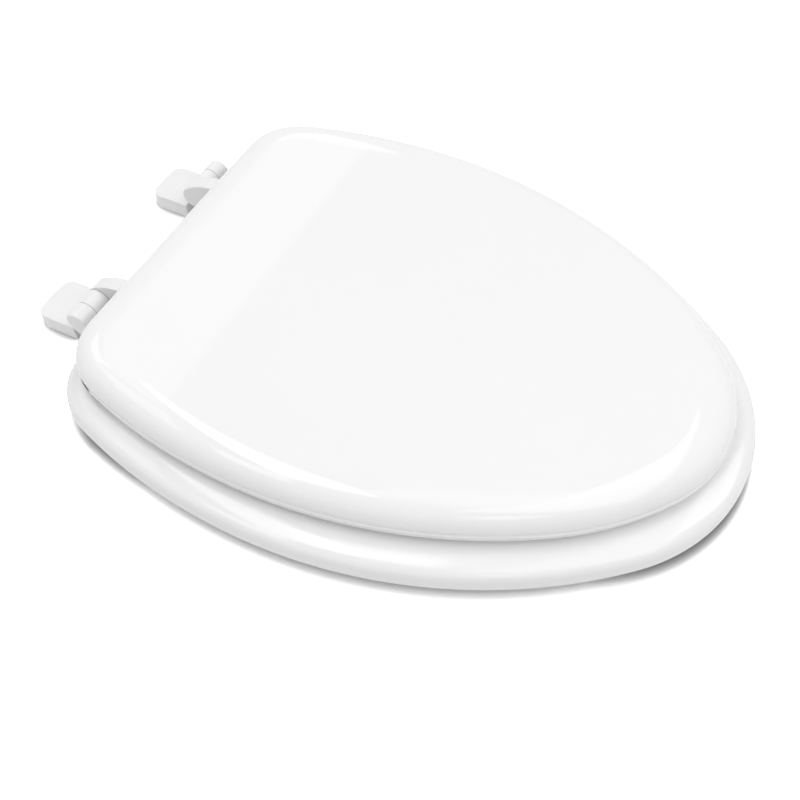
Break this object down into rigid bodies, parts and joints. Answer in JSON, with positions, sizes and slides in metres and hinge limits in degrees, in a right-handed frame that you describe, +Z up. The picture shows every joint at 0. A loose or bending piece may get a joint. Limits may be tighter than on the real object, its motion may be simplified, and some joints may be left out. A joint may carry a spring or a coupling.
{
  "type": "toilet seat",
  "caption": "Elongated closed-front toilet seat: an oval ring and a flat lid with rounded edges, both hinged on posts with flat bolt caps that bolt to the rear of a bowl's rim.",
  "frame": {"origin": "midway between the two fixing bolts, on the plane of the bowl's rim under the hinge posts", "axes": "+Z up from the rim, -Y towards the front of the seat, +X to the right seen from the front of the bowl with +Z up and -Y towards the viewer"},
  "size_m": [0.356, 0.4858, 0.0553],
  "materials": {
    "enamelled_board": "moulded wood under gloss white enamel",
    "hinge_plastic": "satin white moulding",
    "pin_steel": "plain drawn steel",
    "screw_steel": "zinc-plated steel",
    "bumper_rubber": "soft white rubber"
  },
  "bodies": {
    "hinge_base": {"hinge_post_left": "hinge_plastic", "hinge_post_right": "hinge_plastic", "bolt_cap_left": "hinge_plastic", "bolt_cap_right": "hinge_plastic", "hinge_pin_left": "pin_steel", "hinge_pin_right": "pin_steel"},
    "ring": {"seat_ring": "enamelled_board", "ring_leaf_left": "hinge_plastic", "ring_leaf_right": "hinge_plastic", "ring_leaf_screws_left": "screw_steel", "ring_leaf_screws_right": "screw_steel", "ring_front_bumper_left": "bumper_rubber", "ring_front_bumper_right": "bumper_rubber", "ring_rear_bumper_left": "bumper_rubber", "ring_rear_bumper_right": "bumper_rubber"},
    "lid": {"lid": "enamelled_board", "lid_leaf_left": "hinge_plastic", "lid_leaf_right": "hinge_plastic", "lid_leaf_screws_left": "screw_steel", "lid_leaf_screws_right": "screw_steel", "lid_bumper_left": "bumper_rubber", "lid_bumper_right": "bumper_rubber"}
  },
  "joints": [
    {"name": "ring_hinge", "type": "hinge", "parent": "hinge_base", "child": "ring", "pos_m": [0, -0.025, 0.0225], "axis": [-1, 0, 0], "range_deg": [0, 50]},
    {"name": "lid_hinge", "type": "hinge", "parent": "ring", "child": "lid", "pos_m": [0, -0.025, 0.0225], "axis": [-1, 0, 0], "range_deg": [0, 95]}
  ]
}
